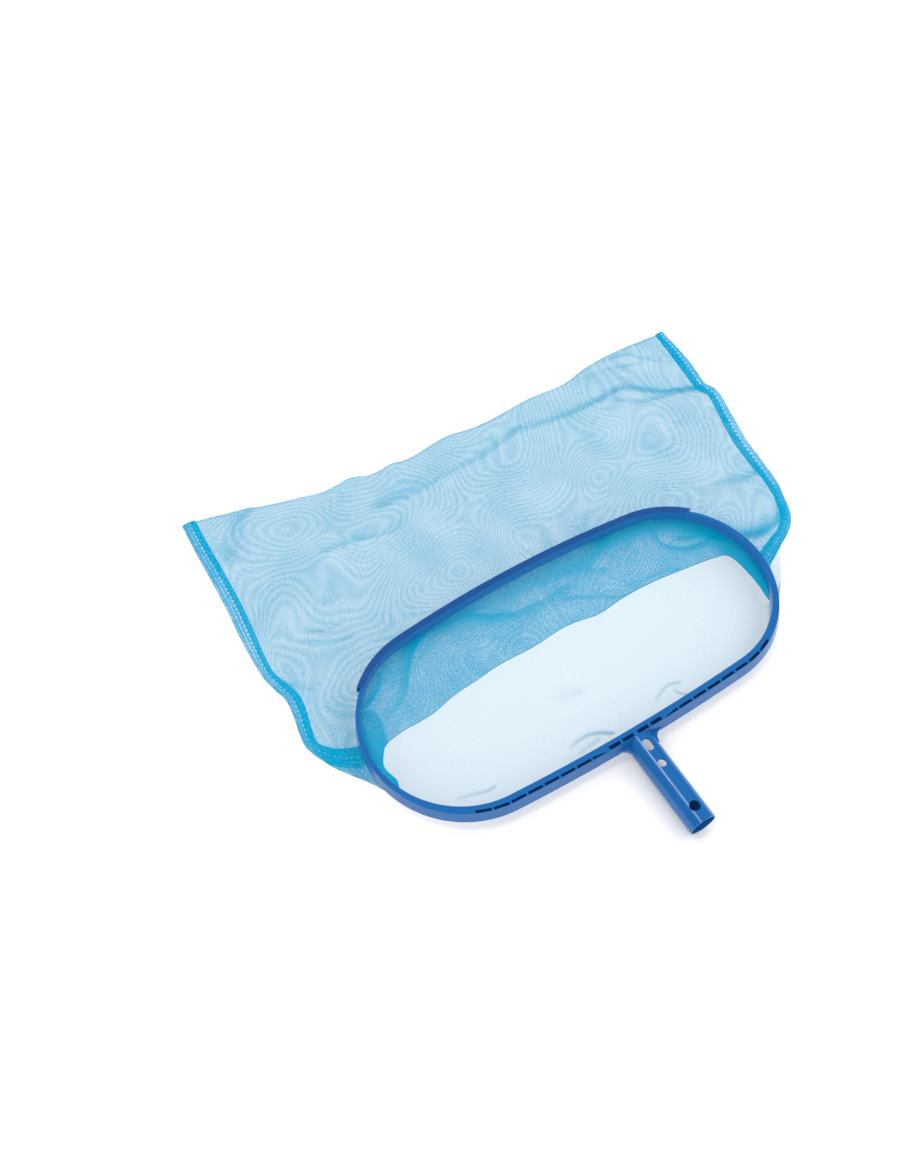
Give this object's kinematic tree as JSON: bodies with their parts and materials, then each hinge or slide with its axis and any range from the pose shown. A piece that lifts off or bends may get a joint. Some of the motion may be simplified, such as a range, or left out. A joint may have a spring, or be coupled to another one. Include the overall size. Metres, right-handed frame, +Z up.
{
  "type": "leaf skimmer net",
  "caption": "Pool leaf skimmer with a wide moulded hoop, a pole socket, a scraper lip and a deep mesh bag lying flat behind the hoop.",
  "frame": {"origin": "Centre of the pole socket's mouth, on the bore's axis.", "axes": "+Y runs along the socket from its mouth towards the hoop and the bag's far edge, +Z is up off the floor the net lies on, +X runs along the hoop's long side, to the right when looking along +Y."},
  "size_m": [0.7331, 0.658, 0.0337],
  "materials": {
    "hoop_plastic": "gloss",
    "socket_plastic": "gloss",
    "lip_plastic": "gloss",
    "cord": "matte",
    "hem_mesh": "matte",
    "lower_mesh": "fine open weave",
    "upper_mesh": "fine open weave",
    "binding_mesh": "matte"
  },
  "bodies": {
    "root": {"hoop_frame": "hoop_plastic", "pole_socket": "socket_plastic", "scraper_lip": "lip_plastic", "rim_cord": "cord", "mouth_hem": "hem_mesh", "bag_lower_panel": "lower_mesh", "bag_upper_panel": "upper_mesh", "left_seam_binding": "binding_mesh", "right_seam_binding": "binding_mesh"}
  },
  "joints": []
}
